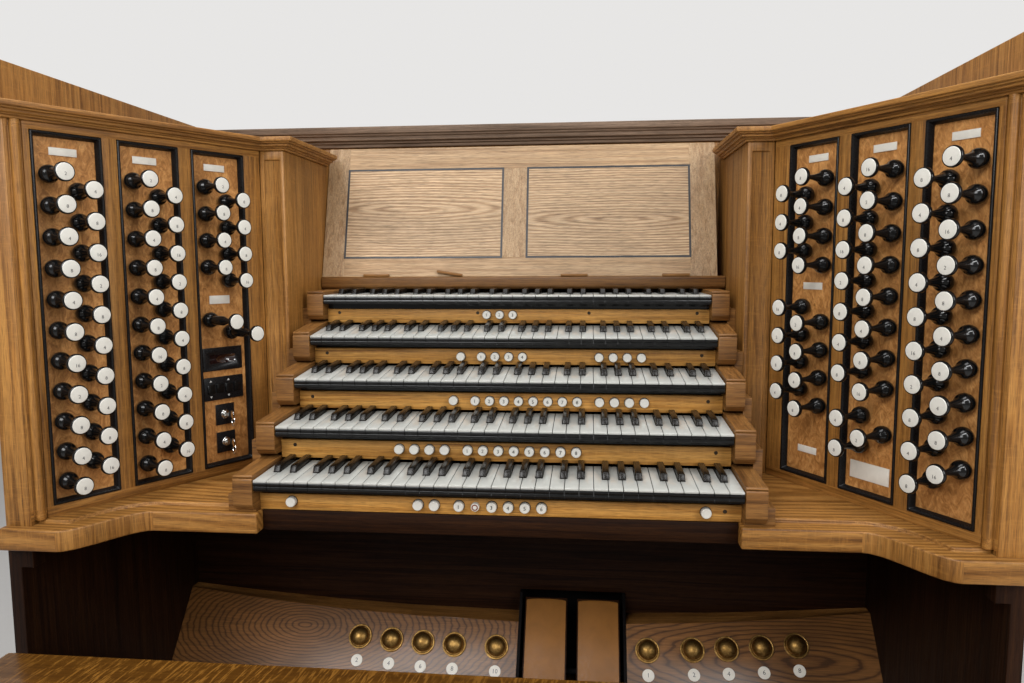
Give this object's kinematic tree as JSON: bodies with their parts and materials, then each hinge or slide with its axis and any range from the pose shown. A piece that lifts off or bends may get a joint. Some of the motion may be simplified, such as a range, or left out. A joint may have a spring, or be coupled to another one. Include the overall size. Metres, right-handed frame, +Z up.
{
  "type": "organ console",
  "caption": "Drawstop organ console with stacked manuals, angled stop jambs, music desk, balanced swell pedals, toe pistons, radiating pedalboard and bench.",
  "frame": {"origin": "on the floor at the centre of the footprint of console and bench", "axes": "+X to the player's right, +Y from the player into the console, +Z up"},
  "size_m": [1.5554, 1.117, 1.522],
  "materials": {
    "oak": "satin waxed oak",
    "pale_oak": "satin waxed oak",
    "burr_veneer": "satin fine-figured veneer",
    "dark_oak": "dark stained oak",
    "toe_oak": "dark oak, foot-polished",
    "bench_oak": "polished quarter-sawn oak",
    "pedal_wood": "bare hardwood, worn by shoes",
    "ebonised": "gloss black",
    "knob_black": "polished black with a pale face",
    "key_white": "polished white key covering",
    "key_black": "polished black",
    "key_frame_black": "satin black",
    "piston_ivory": "polished ivory white",
    "plate_ivory": "plain ivory plate",
    "control_black": "matt black",
    "lock_steel": "polished steel on a black plate",
    "old_brass": "tarnished brass",
    "swell_tread": "tan ribbed tread",
    "recess_black": "matt black lining"
  },
  "bodies": {
    "console": {"left_side_wall": "oak", "right_side_wall": "oak", "back_wall": "dark_oak", "knee_panel": "dark_oak", "key_desk": "dark_oak", "left_desk_wing": "oak", "right_desk_wing": "oak", "left_jamb_frame": "oak", "right_jamb_frame": "oak", "left_stop_boards": "burr_veneer", "right_stop_boards": "burr_veneer", "left_board_beads": "ebonised", "right_board_beads": "ebonised", "left_pilaster": "oak", "right_pilaster": "oak", "left_cornice": "oak", "right_cornice": "oak", "back_cornice": "oak", "left_top_shelf": "oak", "right_top_shelf": "oak", "music_desk": "pale_oak", "music_ledge": "oak", "manual_1_naturals": "key_white", "manual_2_naturals": "key_white", "manual_3_naturals": "key_white", "manual_4_naturals": "key_white", "manual_5_naturals": "key_white", "manual_1_sharps": "key_black", "manual_2_sharps": "key_black", "manual_3_sharps": "key_black", "manual_4_sharps": "key_black", "manual_5_sharps": "key_black", "key_frames": "key_frame_black", "left_key_cheeks": "oak", "right_key_cheeks": "oak", "piston_rails": "pale_oak", "thumb_pistons": "piston_ivory", "left_stop_knobs": "knob_black", "right_stop_knobs": "knob_black", "control_panels": "control_black", "key_switches": "lock_steel", "label_plates": "plate_ivory", "toe_board": "toe_oak", "toe_pistons": "old_brass", "toe_numbers": "piston_ivory", "swell_box": "recess_black", "pedal_frame": "dark_oak", "pedal_naturals": "pedal_wood", "pedal_sharps": "ebonised", "bench_seat": "bench_oak", "bench_frame": "bench_oak"},
    "upper_coupler": {"upper_coupler_knob": "knob_black"},
    "lower_coupler": {"lower_coupler_knob": "knob_black"},
    "left_swell": {"left_swell_pedal": "swell_tread"},
    "right_swell": {"right_swell_pedal": "swell_tread"}
  },
  "joints": [
    {"name": "upper_coupler_draw", "type": "slide", "parent": "console", "child": "upper_coupler", "axis": [0.8581, -0.5135, 0], "range_m": [-0.028, 0]},
    {"name": "lower_coupler_draw", "type": "slide", "parent": "console", "child": "lower_coupler", "axis": [0.8581, -0.5135, 0], "range_m": [-0.028, 0]},
    {"name": "left_swell_tilt", "type": "hinge", "parent": "console", "child": "left_swell", "pos_m": [0.067, 0.28188, 0.33259], "axis": [1, 0, 0], "range_deg": [-15, 15]},
    {"name": "right_swell_tilt", "type": "hinge", "parent": "console", "child": "right_swell", "pos_m": [0.18, 0.28188, 0.33259], "axis": [1, 0, 0], "range_deg": [-15, 15]}
  ]
}
